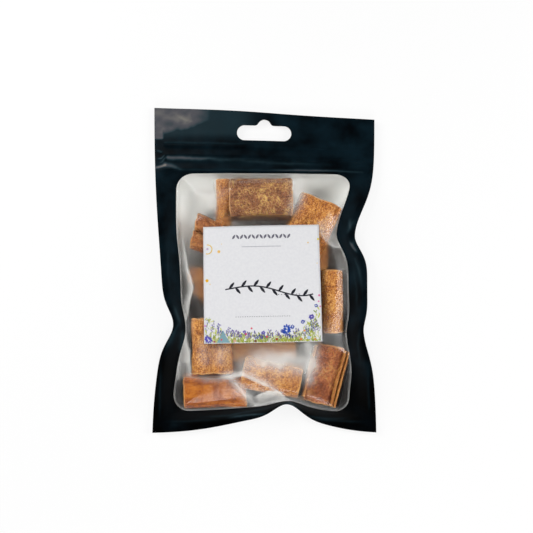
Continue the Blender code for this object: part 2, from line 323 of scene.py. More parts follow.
def layOut(flatX, flatY):
    # from places on the flat film to places in plan: the bottom notch and the header's slope
    # fade towards the middle, and each row is fitted between the two drawn-in sides
    fromBottom = flatY + film["length"] / 2
    notch = pull(flatX, film["bottomPulls"]) * np.clip(1 - fromBottom / film["notchFade"], 0, 1) ** 2
    header = smoothStep((flatY - film["headerStart"]) / (film["length"] / 2 - film["headerStart"]))
    across = flatX / (film["width"] / 2)
    drop = (film["topDrop"] * (across + 1) / 2 - film["topBow"] * bell(flatX, -15, 20, 20)) * header
    y = flatY + notch - drop
    left = -film["width"] / 2 + pull(y, film["leftPulls"])
    right = film["width"] / 2 - pull(y, film["rightPulls"])
    x = left + (right - left) * (across + 1) / 2
    return x - film["middle"][0], y - film["middle"][1]


def seamHeight(y):
    return film["seamLow"] + film["seamLift"] * np.exp(-(y / film["seamSpread"]) ** 2)


def labelPlane(x, y):
    along, across = turned(x, y, labelPlace["centre"], labelPlace["turn"])
    return labelPlace["height"] + labelPlace["slope"] * across - labelPlace["curl"] * along ** 2


def filmGrid(spacing):
    # an even grid over the flat film
    columns = int(film["width"] / spacing) + 1
    rows = int(film["length"] / spacing) + 1
    axisX = np.linspace(-film["width"] / 2, film["width"] / 2, columns)
    axisY = np.linspace(-film["length"] / 2, film["length"] / 2, rows)
    return np.meshgrid(axisX, axisY)


def fromSeals(flatX, flatY):
    # how far in a place on the flat film is from the side seals, the bottom seal and the zip
    fromSide = film["width"] / 2 - np.abs(flatX) - film["sideSeal"]
    fromBottom = flatY + film["length"] / 2 - film["bottomSeal"]
    return fromSide, fromBottom, film["zipLine"] - film["zipHalfBand"] - flatY


def zipRelief(flatX, flatY):
    # the closed zip and the welded lines above and below it
    ridge = film["zipRidge"] * np.exp(-((flatY - film["zipLine"]) / film["ridgeHalfWidth"]) ** 2)
    for side in (-1, 1):
        line = film["zipLine"] + side * film["zipHalfBand"]
        ridge = ridge + film["weldRidge"] * np.exp(-((flatY - line) / film["ridgeHalfWidth"]) ** 2)
    fromSide = fromSeals(flatX, flatY)[0]
    welded = film["weldStep"] * smoothStep(fromSide / 0.8 + 0.5)  # the side weld is pressed thinner
    return ridge * smoothStep(fromSide / 2) + welded


def neighbourMean(height):
    # the mean of the four neighbours; the outermost rows and columns stay as they are
    mean = height.copy()
    mean[1:-1, 1:-1] = (height[2:, 1:-1] + height[:-2, 1:-1] + height[1:-1, 2:] + height[1:-1, :-2]) / 4
    return mean


def drapedFront(flatX, flatY):
    # the front film drawn over the sticks: straight spans from crest to crest, found by raising
    # each point to the middle of its neighbours until nothing rises, then let sag between them
    x, y = layOut(flatX, flatY)
    fromSide, fromBottom, fromZip = fromSeals(flatX, flatY)
    seam = seamHeight(y) + film["gap"] + film["thickness"]
    free = (fromSide > 0) & (fromBottom > 0) & (fromZip > 0)
    crowns = np.max([stickCrown(x, y, stick) for stick in sticks], axis=0) + film["clearance"]
    along, across = turned(x, y, labelPlace["centre"], labelPlace["turn"])
    outside = np.maximum(np.abs(along), np.abs(across)) - labelPlace["side"] / 2
    plane = labelPlane(x, y)
    held = outside < draping["labelHold"]
    floor = np.where(free, np.maximum(crowns, seam), seam)
    floor = np.where(held, plane, floor)
    taut = floor.copy()
    for stride in draping["strides"]:
        for _ in range(draping["coarsePasses" if stride > 1 else "finePasses"]):
            for dy, dx in ((0, 1), (1, 0), (1, 1), (1, -1)):
                sy, sx = dy * stride, dx * stride
                ahead = np.roll(taut, (-sy, -sx), (0, 1))
                behind = np.roll(taut, (sy, sx), (0, 1))
                taut = np.where(free & ~held, np.maximum(taut, (ahead + behind) / 2), floor)
    edge = np.minimum(np.minimum(fromSide, fromBottom), fromZip)
    swell = film["pressure"] * (1 - smoothStep((edge - draping["swellStart"]) / draping["swellOver"]))
    swell = swell * film["spacing"] ** 2 / 4
    sag = taut.copy()
    for _ in range(draping["sagPasses"]):
        sag = np.where(free & ~held, np.maximum(neighbourMean(sag) + swell, floor), floor)
    front = draping["tautShare"] * np.maximum(taut, sag) + (1 - draping["tautShare"]) * sag
    # soft at the seals, and creased only as far as the film's stiffness lets it
    for step in range(draping["softPasses"]):
        mean = neighbourMean(front)
        soft = 1 - smoothStep((np.abs(edge) - draping["softStart"]) / draping["softOver"])
        front = front + (mean - front) * (1.0 if step < draping["evenPasses"] else soft)
        front = np.where(held, plane, np.where(fromZip < -0.5, seam, front))
    pushed = free & ~held
    front = np.where(pushed, np.maximum(front, crowns), front)  # a stick near a seal still pushes out
    for _ in range(draping["pushPasses"]):
        front = np.where(pushed, neighbourMean(front), front)
    gap = np.clip((front - crowns) / film["farGap"], 0, 1)
    for _ in range(draping["gapPasses"]):
        gap = neighbourMean(gap)
    return x, y, front, held, gap


def windowField(flatX, flatY):
    # signed distance from the window's outline on the flat film, negative inside
    left = flatX < 0
    halfWidth = window["halfWidth"] + window["pinchRoom"] * bell(flatY, *window["pinchAt"]) * left
    foot = np.where(left, window["footLeft"], window["footRight"])
    halfWidth = halfWidth + foot * bell(flatY, *window["footAt"])
    bottom = window["bottom"] + window["tilt"] * flatX
    middle, half = (window["top"] + bottom) / 2, (window["top"] - bottom) / 2
    dx = np.abs(flatX) - halfWidth + window["radius"]
    dy = np.abs(flatY - middle) - half + window["radius"]
    outside = np.hypot(np.maximum(dx, 0), np.maximum(dy, 0))
    return outside + np.minimum(np.maximum(dx, dy), 0) - window["radius"]


def slotField(flatX, flatY):
    # signed distance from the hang hole: a slot with round ends, a round bump, filleted together
    x, y = layOut(flatX, flatY)
    along, across = turned(x, y, hangSlot["centre"], hangSlot["turn"])
    reach = (hangSlot["length"] - hangSlot["width"]) / 2
    slot = np.hypot(np.maximum(np.abs(along) - reach, 0), across) - hangSlot["width"] / 2
    bump = np.hypot(along, across - hangSlot["bumpRise"]) - hangSlot["bumpRadius"]
    blend = np.clip(0.5 + 0.5 * (bump - slot) / hangSlot["fillet"], 0, 1)
    return bump * (1 - blend) + slot * blend - hangSlot["fillet"] * blend * (1 - blend)


def snapToEdge(flatX, flatY, field, spacing):
    # moves the grid points nearest an outline onto it, so that the outline is a clean line of
    # edges; returns the moved points and which side each one is on (-1 in, 0 on, 1 out)
    value = field(flatX, flatY)
    near = np.zeros(value.shape, bool)
    for axis in (0, 1):
        a, b = value, np.roll(value, -1, axis)
        crossing = (a * b < 0) & (np.abs(a) + np.abs(b) < 3 * spacing)
        first = crossing & (np.abs(a) <= np.abs(b))
        near |= first | np.roll(crossing & ~first, 1, axis)
    movedX, movedY = flatX.copy(), flatY.copy()
    step = 0.05
    for _ in range(4):
        here = field(movedX, movedY)
        slopeX = (field(movedX + step, movedY) - here) / step
        slopeY = (field(movedX, movedY + step) - here) / step
        scale = np.where(near, here / (slopeX ** 2 + slopeY ** 2 + 1e-9), 0)
        movedX, movedY = movedX - scale * slopeX, movedY - scale * slopeY
    return movedX, movedY, np.where(near, 0, np.sign(value))


def splitFaces(sides):
    # the grid's faces inside and outside an outline; a face that it crosses is cut corner to corner
    rows, columns = sides.shape
    quads = gridFaces(rows, columns)
    corner = sides.ravel()[quads]
    mixed = (corner.min(1) < 0) & (corner.max(1) > 0)
    whole, split = quads[~mixed], quads[mixed]
    wholeSide = np.sign(sides.ravel()[whole].sum(1) - 0.5)
    onEdge = sides.ravel()[split] == 0
    order = np.where(onEdge[:, :1] & onEdge[:, 2:3], 0, 1)
    spun = np.where(order == 0, split, np.roll(split, -1, axis=1))
    triangles = np.concatenate([spun[:, [0, 1, 2]], spun[:, [0, 2, 3]]])
    triangleSide = np.sign(sides.ravel()[triangles].sum(1) - 0.5)
    return {side: (whole[wholeSide == side], triangles[triangleSide == side]) for side in (-1, 1)}


def keepUsed(points, faces, extra):
    # drops the grid points that no face uses
    used = np.unique(np.concatenate([block.ravel() for block in faces]))
    lookup = np.zeros(len(points), int)
    lookup[used] = np.arange(len(used))
    usedExtra = {key: value[used] for key, value in extra.items()}
    return points[used], [lookup[block] for block in faces], usedExtra


def sampleGrid(values, flatX, flatY, spacingX, spacingY):
    # reads a height between grid points, straight from corner to corner
    rows, columns = values.shape
    gx = np.clip((flatX + film["width"] / 2) / spacingX, 0, columns - 1.001)
    gy = np.clip((flatY + film["length"] / 2) / spacingY, 0, rows - 1.001)
    ix, iy = gx.astype(int), gy.astype(int)
    fx, fy = gx - ix, gy - iy
    low = values[iy, ix] * (1 - fx) + values[iy, ix + 1] * fx
    high = values[iy + 1, ix] * (1 - fx) + values[iy + 1, ix + 1] * fx
    return low * (1 - fy) + high * fy


windowFolds = [
    # path in plan, reach to its left and right, how milky or pale it is (partly frosting, partly painted
    # glare), how that comes and goes from one end to the other, and how far it stands up
    # upper corners
    dict(path=[(-38.5, 42.8), (-31.0, 35.4), (-25.4, 29.6)], left=6.2, right=0.8, pale=0.5,
         run=(1, 1, 0.8, 0.4), lift=0.1),
    dict(path=[(28.5, 30.6), (39.8, 38.8)], left=1.7, right=2.0, pale=0.45, run=(0, 0.5, 1, 1), lift=0.1),
    dict(path=[(14.2, 43.0), (15.6, 32.0), (12.6, 25.0)], left=2.2, right=2.2, pale=0.5,
         run=(1, 1, 0.8, 0.3), lift=0.1),
    dict(path=[(20.4, 43.0), (20.8, 36.5)], left=1.6, right=1.6, pale=0.35, run=(1, 0.7, 0), lift=0.0),
    dict(path=[(23.0, 42.4), (37.0, 41.6)], left=1.6, right=3.2, pale=0.5, run=(0.3, 1, 0.8), lift=0.0),
    # over the upper right stick, down to the wedge beside the label
    dict(path=[(22.4, 17.6), (31.5, 25.5)], left=0.6, right=5.0, pale=0.1, lift=0.0),
    dict(path=[(24.0, 17.0), (26.5, 12.6), (29.5, 10.2), (36.0, 9.5)], left=3.0, right=0.45, pale=0.3,
         run=(0.5, 1, 1, 0.7), lift=0.2),
    dict(path=[(34.5, 13.0), (37.5, 5.0), (38.8, -4.0)], left=2.2, right=1.4, pale=0.34,
         run=(0.8, 1, 0.5, 0.2), lift=0.2),
    # the left strip between the window's edge and the sticks
    dict(path=[(-35.6, 15.0), (-34.2, 2.2), (-31.4, -9.0), (-32.9, -15.3), (-33.5, -20.0), (-36.2, -26.0)],
         left=0.3, right=1.5, pale=0.6, run=(0.1, 0.5, 1, 1, 0.8, 0.4), lift=0.4),
    dict(path=[(-36.2, -26.4), (-34.6, -30.6), (-32.4, -37.1), (-31.7, -46.5)], left=0.35, right=2.4,
         pale=0.55, run=(0.5, 1, 1, 0.5), lift=0.3),
    dict(path=[(-37.0, -34.0), (-37.8, -50.0)], left=2.0, right=1.2, pale=0.3, lift=0.0),
    # across the lower left sticks and down to the notch
    dict(path=[(-30.6, -47.6), (-21.1, -47.8), (-15.4, -48.0)], left=0.9, right=1.3, pale=0.14,
         run=(0.5, 1, 1, 0.4), lift=0.2),
    dict(path=[(-19.0, -47.4), (-14.0, -47.6), (-9.8, -46.4)], left=1.8, right=0.5, pale=0.65,
         run=(0.2, 1, 1, 0.7), lift=0.4),
    dict(path=[(-9.8, -46.0), (-3.0, -49.6), (5.0, -53.2)], left=1.9, right=0.35, pale=0.62,
         run=(0.8, 1, 0.9, 0.3), lift=0.4),
    dict(path=[(-14.1, -49.2), (-7.4, -55.9), (-4.0, -59.9)], left=1.5, right=1.7, pale=0.5,
         run=(0.6, 1, 0.9, 0.7), lift=0.3),
    dict(path=[(-2.2, -55.2), (2.0, -54.0), (6.2, -54.0), (10.8, -57.4)], left=0.25, right=3.4, pale=0.85,
         run=(0.8, 1, 1, 0.4), lift=0.5),
    dict(path=[(-4.0, -60.4), (4.9, -58.4), (11.0, -58.6), (16.0, -62.3)], left=0.7, right=0.7, pale=0.4,
         run=(0.6, 1, 0.8), lift=0.1),
    # over the lower middle stick and its right neighbour
    dict(path=[(-8.0, -40.4), (3.6, -39.5), (15.6, -41.2)], left=3.6, right=4.4, pale=0.66,
         run=(0.4, 1, 1, 0.6), lift=0.0),
    dict(path=[(18.4, -34.0), (19.4, -40.0), (19.2, -48.0)], left=3.4, right=2.4, pale=0.4,
         run=(1, 1, 0.9, 0.3), lift=0.0),
    dict(path=[(22.8, -36.0), (21.2, -43.0), (18.8, -52.0)], left=1.4, right=2.4, pale=0.22, lift=0.3),
    dict(path=[(-27.0, -30.0), (-26.0, -44.0)], left=2.6, right=2.0, pale=0.12, lift=0.0),
    dict(path=[(-18.6, -33.0), (-18.2, -43.5)], left=3.4, right=3.4, pale=0.16, lift=0.0),
]
borderFolds = [
    # pinches, notch, seal lines; pale is a painted highlight on the black film
    dict(path=[(38.4, 23.0), (38.9, 17.5)], left=0.7, right=0.7, pale=0.2, lift=0.2),
    dict(path=[(41.6, 22.5), (38.4, 17.8), (36.2, 15.4)], left=0.9, right=1.3, pale=0.2, lift=0.3),
    dict(path=[(38.2, 12.4), (40.2, 9.4), (42.2, 7.0)], left=0.8, right=0.5, pale=0.55, lift=0.3),
    dict(path=[(-40.8, -16.0), (-38.6, -22.0), (-37.0, -26.0)], left=1.1, right=1.1, pale=0.22, lift=0.3),
    dict(path=[(-36.6, -27.2), (-35.9, -32.0), (-36.6, -38.0)], left=0.5, right=1.3, pale=0.22, lift=0.2),
    dict(path=[(-39.6, -27.0), (-44.0, -37.0)], left=1.2, right=1.2, pale=0.12, lift=0.2),
    dict(path=[(39.6, 10.6), (42.6, 15.6)], left=0.5, right=0.9, pale=0.14, run=(1, 0.7, 0.1), lift=0.2),
    dict(path=[(40.4, 4.0), (43.4, -4.0), (44.4, -14.0)], left=1.0, right=0.7, pale=0.2,
         run=(0.9, 1, 0.6, 0), lift=0.2),
    dict(path=[(39.2, 2.0), (41.0, -8.0), (41.2, -20.0)], left=0.5, right=0.8, pale=0.12, lift=0.1),
    dict(path=[(43.6, -26.0), (41.8, -34.0), (42.6, -44.0)], left=0.8, right=0.8, pale=0.12, lift=0.2),
    dict(path=[(-42.8, 12.0), (-43.6, -2.0), (-41.6, -12.0)], left=0.6, right=1.0, pale=0.1, lift=0.1),
    dict(path=[(-38.6, -25.4), (-42.6, -31.0), (-45.4, -40.0)], left=0.8, right=0.5, pale=0.16,
         run=(1, 0.6, 0.1), lift=0.2),
    dict(path=[(-30.0, -66.8), (-14.0, -65.2), (-4.0, -63.0), (6.0, -61.4)], left=0.5, right=0.9, pale=0.16,
         lift=0.1),
    dict(path=[(16.0, -66.6), (28.0, -67.4), (38.0, -66.8)], left=0.5, right=0.8, pale=0.14, lift=0.1),
    dict(path=[(7.4, -62.6), (11.6, -59.8), (16.6, -65.0)], left=0.8, right=0.9, pale=0.4, run=(0.5, 1, 0.5),
         lift=0.0),
    dict(path=[(-17.0, -67.0), (-6.0, -65.8), (2.0, -65.6)], left=0.6, right=0.6, pale=0.3, lift=0.2),
    dict(path=[(-46.8, -42.0), (-47.2, -68.0)], left=0.5, right=0.5, pale=0.1, lift=0.0),
    dict(path=[(46.6, -42.0), (47.2, -66.0)], left=0.5, right=0.5, pale=0.1, lift=0.0),
    dict(path=[(-45.5, -69.0), (-20.0, -68.0)], left=0.5, right=0.5, pale=0.1, lift=0.0),
    dict(path=[(22.0, -68.0), (45.0, -69.0)], left=0.5, right=0.5, pale=0.1, lift=0.0),
    # the zip: painted highlights on its ridge and welds at the left, and a painted highlight on its end,
    # which is crushed flat
    dict(path=[(-44.0, 50.8), (-36.0, 50.7), (-30.0, 50.5), (-20.0, 49.9), (6.0, 48.5), (30.0, 47.6)],
         left=0.9, right=0.9, pale=0.62, run=(1, 1, 0.6, 0.4, 0.36, 0.34, 0.32, 0.28, 0.2, 0.1), lift=0.0),
    dict(path=[(-45.6, 47.6), (-42.0, 47.1), (-38.4, 45.5)], left=0.9, right=0.7, pale=0.6,
         run=(1, 1, 0.7, 0.2), lift=0.1),
    dict(path=[(-50.4, 46.4), (-47.5, 47.0), (-45.4, 47.6)], left=0.5, right=0.5, pale=1.1, run=(0.6, 1, 1),
         lift=0.1),
    dict(path=[(-38.8, 45.4), (8.0, 44.9), (16.0, 44.9), (33.0, 44.6), (45.0, 44.0)], left=0.5, right=0.5,
         pale=0.6, run=(0.3, 0.35, 0.35, 0.35, 0.5, 1, 1, 0.6, 0.3), lift=0.0),
    dict(path=[(-45.6, 58.3), (-30.0, 58.0), (-5.0, 57.4)], left=0.45, right=0.6, pale=0.2,
         run=(0.8, 1, 0.8, 0.2), lift=0.0),
    dict(path=[(-49.8, 54.4), (-46.6, 53.2)], left=0.5, right=0.4, pale=0.3, lift=0.3),
    dict(path=[(-49.6, 50.4), (-47.2, 50.6), (-45.4, 52.6)], left=0.4, right=0.4, pale=0.32, lift=0.4),
    dict(path=[(-48.8, 48.2), (-46.8, 49.0), (-45.0, 51.4)], left=0.4, right=0.4, pale=0.3, lift=0.3),
    dict(path=[(-41.2, 71.0), (-37.4, 68.8), (-31.9, 66.8)], left=0.9, right=0.3, pale=0.2, lift=0.45),
]
paintedShades = [
    # middle, half width and half height of the places where painted shade darkens the silver inside, and how
    # deep
    (25.6, 35.0, 5.0, 2.4, 0.55), (-30.0, -20.0, 3.2, 3.4, 0.6), (18.4, -59.4, 5.0, 2.4, 0.8),
    (-6.6, -59.6, 1.8, 3.0, 0.8), (-24.6, 24.0, 3.4, 3.0, 0.9), (8.0, 20.4, 6.0, 2.2, 0.5),
    (37.5, 26.5, 3.5, 4.5, 0.5), (-6.0, 20.6, 7.0, 2.0, 0.45),
]
# painted sheen on the header, and painted haze along the window's outline
sheen = {"sheenDipPlace": (-44, 66.8), "sheenDipReach": (3.0, 1.8), "sheenDipDepth": 0.35, "rimReach": 0.5,
         "edgeStart": 42, "edgeWander": 1.6, "stripSoftness": 0.5, "faintSheenLower": 58, "faintSheenFade": 5,
         "rightEnd": -19.0, "fadeOver": 17.0, "lowerEdge": 61.4, "lowerSlope": 0.2, "softness": 4.5,
         "strength": 0.74,
         "stripInner": -46.3, "stripLower": 59.4, "faintSheenEnd": 6.0, "faintSheenOver": 20.0, "faintSheen": 0.17, "rim": 0.3}


def foldFields(x, y, folds):
    # each fold is strongest on its path and falls off to either side and past its ends;
    # gives how pale the film is painted there (painted highlight on the black film, frosting and painted
    # glare on the clear film) and how far it stands up
    pale, lift = np.zeros_like(x), np.zeros_like(x)
    waver = fractalNoise(x / 5 + 20, y / 5 + 20, 31)
    patchy = 0.9 + 0.25 * fractalNoise(x / 2.5 + 70, y / 2.5 + 70, 37)
    for fold in folds:
        field, share, gone = np.zeros_like(x), np.zeros_like(x), 0.0
        width = (fold["left"] + fold["right"]) / 2
        legs = list(zip(fold["path"][:-1], fold["path"][1:]))
        total = sum(math.dist(*leg) for leg in legs)
        for start, end in legs:
            length = math.dist(start, end)
            heading = math.atan2(end[1] - start[1], end[0] - start[0])
            along, across = turned(x, y, start, heading)
            beyond = np.maximum(np.maximum(-along, along - length), 0)
            across = across + 0.6 * width * waver
            reach = np.where(across > 0, fold["left"], fold["right"])
            here = np.exp(-np.abs(across / reach) ** 1.5 - (beyond / width) ** 2)
            share = np.where(here > field, (gone + np.clip(along, 0, length)) / total, share)
            field = np.maximum(field, here)
            gone += length
        run = fold.get("run", (0.1, 0.9, 1, 0.9, 0.1))
        field = field * np.interp(share, np.linspace(0, 1, len(run)), run)
        pale = pale + fold["pale"] * field * patchy * (1 - 0.5 * pale)
        lift = lift + fold["lift"] * field
    return pale, lift


def headerSheen(x, y):
    # painted sheen: the header's left end is painted greyer, as a reflection, down to a slanting edge, and
    # its side weld strip too;
    # further right there is a fainter painted sheen
    lower = sheen["lowerEdge"] + sheen["lowerSlope"] * (x + sheen["edgeStart"])
    lower = lower + sheen["edgeWander"] * fractalNoise(x / 6 + 3, y / 6, 12)
    above = smoothStep((y - lower) / sheen["softness"])
    paintedSheen = smoothStep((sheen["rightEnd"] - x) / sheen["fadeOver"]) * above
    strip = smoothStep((sheen["stripInner"] - x) / sheen["stripSoftness"])
    strip = strip * smoothStep((y - sheen["stripLower"]) / sheen["stripSoftness"])
    faintSheen = sheen["faintSheen"] * smoothStep((sheen["faintSheenEnd"] - x) / sheen["faintSheenOver"])
    faintSheen = faintSheen * smoothStep((y - sheen["faintSheenLower"]) / sheen["faintSheenFade"])
    mottle = 0.85 + 0.3 * fractalNoise(x / 4 + 50, y / 3 + 50, 8)
    # a dim spot in the painted sheen
    aside = (x - sheen["sheenDipPlace"][0]) / sheen["sheenDipReach"][0]
    upward = (y - sheen["sheenDipPlace"][1]) / sheen["sheenDipReach"][1]
    sheenDip = 1 - sheen["sheenDipDepth"] * np.exp(-aside ** 2 - upward ** 2)
    return np.maximum(sheen["strength"] * np.maximum(paintedSheen, strip) * mottle * sheenDip, faintSheen)


def filmTone(x, y, slope, fromOutline):
    # clear film is a little milky all over, more where it is steep and along the window's outline, partly
    # frosting and partly painted glare; the black film gets painted highlight and sheen
    clearFrostAndGlare, paintedFoldHighlight = foldFields(x, y, windowFolds)[0], foldFields(x, y, borderFolds)[0]
    inHeader = smoothStep((y - 56) / 2)
    uneven = 0.7 + 0.6 * fractalNoise(x / 8 + 11, y / 8, 44)
    # painted haze along the window's outline, partly frosting
    rim = sheen["rim"] * np.exp(-(fromOutline / sheen["rimReach"]) ** 2) * uneven
    black = np.clip(paintedFoldHighlight + headerSheen(x, y) * inHeader, 0, 1.2)
    return black, np.clip(clearFrostAndGlare + rim + 0.04 * smoothStep((slope - 0.6) / 1.4), 0, 1)


def buildFilm(frontMaterial, insideMaterial, windowMaterial):
    flatX, flatY = filmGrid(film["spacing"])
    spacingX, spacingY = flatX[0, 1] - flatX[0, 0], flatY[1, 0] - flatY[0, 0]
    x, y, front, held, gap = drapedFront(flatX, flatY)
    fromSide, fromBottom, fromZip = fromSeals(flatX, flatY)
    loose = smoothStep((fromSide + 2) / 5) * smoothStep((fromBottom + 2) / 5) * ~held
    lift = foldFields(x, y, windowFolds + borderFolds)[1]
    front = front + lift * np.where(fromZip > 0, loose, film["headerLift"])
    front = front + film["ripple"] * fractalNoise(x / 7 + 30, y / 9 + 30, 5, 2) * smoothStep(fromSide / 5)
    slope = np.hypot(*np.gradient(front, spacingY, spacingX))
    front = front + zipRelief(flatX, flatY)
    print("film draped")

    # the hang hole is cut in both films, the window in the front one
    cutX, cutY, slotSide = snapToEdge(flatX, flatY, slotField, spacingY)
    frontX, frontY, windowSide = snapToEdge(cutX, cutY, windowField, spacingY)
    faces = splitFaces(np.where(flatY > film["headerLine"], slotSide, windowSide))
    headerRow = int((film["headerLine"] + film["length"] / 2) / spacingY)
    clearFaces = [block[(block // flatX.shape[1]).min(1) < headerRow] for block in faces[-1]]
    planX, planY = layOut(frontX, frontY)
    height = sampleGrid(front, frontX, frontY, spacingX, spacingY)
    points = np.stack([planX, planY, height], axis=-1).reshape(-1, 3)
    tone, clearTone = filmTone(planX, planY, slope, windowField(frontX, frontY))
    place = np.stack([frontX, frontY, np.zeros_like(frontX)], axis=-1).reshape(-1, 3)
    for name, chosen, finish, slot, value in (
            ("frontFilm", list(faces[1]), [frontMaterial, insideMaterial], "film", tone),
            ("windowFilm", clearFaces, [windowMaterial], "window", clearTone)):
        extra = {"filmPlace": place, "filmTone": value.ravel(), "filmGap": gap.ravel()}
        usedPoints, usedFaces, usedExtra = keepUsed(points, chosen, extra)
        piece = meshObject(name, usedPoints, usedFaces, finish, attributes=usedExtra)
        thicken(piece, film["thickness"], len(finish) - 1)
        attach(piece, slot, *(["pouch"] if name == "frontFilm" else []))

    # the back lies flat and rises to the seam along its edges
    flatX, flatY = filmGrid(film["backSpacing"])
    cutX, cutY, slotSide = snapToEdge(flatX, flatY, slotField, film["backSpacing"])
    planX, planY = layOut(cutX, cutY)
    settled = 1
    for inward in fromSeals(cutX, cutY):
        settled = settled * smoothStep(inward / film["floorRise"])
    seam = seamHeight(planY) - film["gap"] - film["thickness"] - zipRelief(cutX, cutY)
    points = np.stack([planX, planY, seam * (1 - settled) + 0.02], axis=-1).reshape(-1, 3)
    place = np.stack([cutX, cutY, np.ones_like(cutX)], axis=-1).reshape(-1, 3)
    # painted shade on the silver inside, under and between the sticks
    shade = np.zeros_like(planX)
    for middleX, middleY, wide, high, depth in paintedShades:
        shade = shade + depth * np.exp(-((planX - middleX) / wide) ** 2 - ((planY - middleY) / high) ** 2)
    extra = {"filmPlace": place, "filmTone": np.zeros(place.shape[0]),
             "filmShade": np.clip(shade, 0, 1).ravel()}
    faces = [block[:, ::-1] for block in splitFaces(slotSide)[1]]
    usedPoints, usedFaces, usedExtra = keepUsed(points, faces, extra)
    piece = meshObject("backFilm", usedPoints, usedFaces, [frontMaterial, insideMaterial],
                       attributes=usedExtra)
    thicken(piece, film["thickness"], 1)
    attach(piece, "film", "pouch")
    print("film built")


def thicken(piece, thickness, insideMaterial=0):
    wall = piece.modifiers.new("wall", "SOLIDIFY")
    wall.thickness = thickness * mm
    wall.offset = -1
    wall.material_offset = insideMaterial


def addNode(tree, kind, inputs=None, **settings):
    node = tree.nodes.new(kind)
    for key, value in settings.items():
        setattr(node, key, value)
    for key, value in (inputs or {}).items():
        if isinstance(value, bpy.types.NodeSocket):
            tree.links.new(value, node.inputs[key])
        else:
            node.inputs[key].default_value = value
    return node


def newMaterial(name):
    material = bpy.data.materials.new(name)
    material.use_nodes = True
    tree = material.node_tree
    return material, tree, tree.nodes["Principled BSDF"]


def setShader(shader, **values):
    for key, value in values.items():
        shader.inputs[key.replace("_", " ")].default_value = value


def ramp(tree, factor, stops):
    node = addNode(tree, "ShaderNodeValToRGB", {"Fac": factor})
    while len(node.color_ramp.elements) < len(stops):
        node.color_ramp.elements.new(0.5)
    for element, (position, colour) in zip(node.color_ramp.elements, stops):
        element.position, element.color = position, linear(colour)
    return node.outputs["Color"]


def readAttribute(tree, name, output="Fac"):
    return addNode(tree, "ShaderNodeAttribute", attribute_name=name).outputs[output]


def placeAttribute(tree, name, scale):
    # the piece's own place in mm, stretched so that a pattern's scale is one over its size
    return addNode(tree, "ShaderNodeVectorMath", {0: readAttribute(tree, name, "Vector"), 1: scale},
                   operation="MULTIPLY").outputs["Vector"]


def blackLaminate():
    # matt black PET laminate: a deep blue-black, painted warm grey as painted highlight and sheen along its
    # folds and on the header
    material, tree, shader = newMaterial("mattBlackLaminateFilm")
    place = placeAttribute(tree, "filmPlace", (1.0, 1.0, 1.0))
    clouds = addNode(tree, "ShaderNodeTexNoise", {"Vector": place, "Scale": 0.08, "Detail": 3.0})
    split = addNode(tree, "ShaderNodeSeparateXYZ", {"Vector": place})
    deeper = addNode(tree, "ShaderNodeMapRange",
                     {"Value": split.outputs["Y"], "From Min": -60.0, "From Max": 0.0,
                                                  "To Min": -0.3, "To Max": 0.0})
    clouded = addNode(tree, "ShaderNodeMath", {0: clouds.outputs["Fac"], 1: deeper.outputs[0]},
                      operation="ADD")
    body = ramp(tree, clouded.outputs[0], [(0.1, "#000000"), (0.35, "#02060a"), (0.65, "#0b1c24")])
    tone = readAttribute(tree, "filmTone")
    # painted highlight and sheen: warm grey where filmTone is set
    paintedSheen = ramp(tree, tone, [(0.0, "#0e2129"), (0.22, "#25383f"), (0.6, "#545459"), (1.0, "#85827a")])
    share = addNode(tree, "ShaderNodeMath", {0: tone, 1: 4.0}, operation="MULTIPLY", use_clamp=True)
    mixed = addNode(tree, "ShaderNodeMix", {"Factor": share.outputs[0], "A": body, "B": paintedSheen},
                    data_type="RGBA")
    tree.links.new(mixed.outputs["Result"], shader.inputs["Base Color"])
    grain = addNode(tree, "ShaderNodeTexNoise", {"Vector": place, "Scale": 2.5, "Detail": 2.0})
    bump = addNode(tree, "ShaderNodeBump", {"Height": grain.outputs["Fac"], "Strength": 0.05,
                                            "Distance": 0.0001})
    tree.links.new(bump.outputs["Normal"], shader.inputs["Normal"])
    setShader(shader, Roughness=0.34, IOR=1.3, Specular_IOR_Level=0.2)
    return material


def silverFilm():
    # vacuum-metallised inner face, with painted light and shade: painted brighter towards the top, and
    # painted shade under the sticks
    material, tree, shader = newMaterial("metallisedInnerFilm")
    place = placeAttribute(tree, "filmPlace", (1.0, 1.0, 1.0))
    clouds = addNode(tree, "ShaderNodeTexNoise", {"Vector": place, "Scale": 0.12, "Detail": 3.0})
    split = addNode(tree, "ShaderNodeSeparateXYZ", {"Vector": place})
    # painted light: the film is painted brighter towards the top
    paintedLight = addNode(tree, "ShaderNodeMapRange",
                  {"Value": split.outputs["Y"], "From Min": -60.0, "From Max": 40.0})
    cloudsAndPaintedLight = addNode(tree, "ShaderNodeMath", {0: clouds.outputs["Fac"], 1: 0.16, 2: paintedLight.outputs[0]},
                   operation="MULTIPLY_ADD")
    colour = ramp(tree, cloudsAndPaintedLight.outputs[0], [(0.1, "#42362f"), (0.5, "#524b45"), (0.72, "#8e8a82"),
                                          (0.88, "#ecece8")])
    # painted shade: the colour is darkened where filmShade is set
    shaded = addNode(tree, "ShaderNodeMix", {"Factor": readAttribute(tree, "filmShade"), "A": colour,
                                             "B": linear("#1e1c1b")}, data_type="RGBA")
    tree.links.new(shaded.outputs["Result"], shader.inputs["Base Color"])
    setShader(shader, Roughness=0.5, Metallic=0.15)
    return material


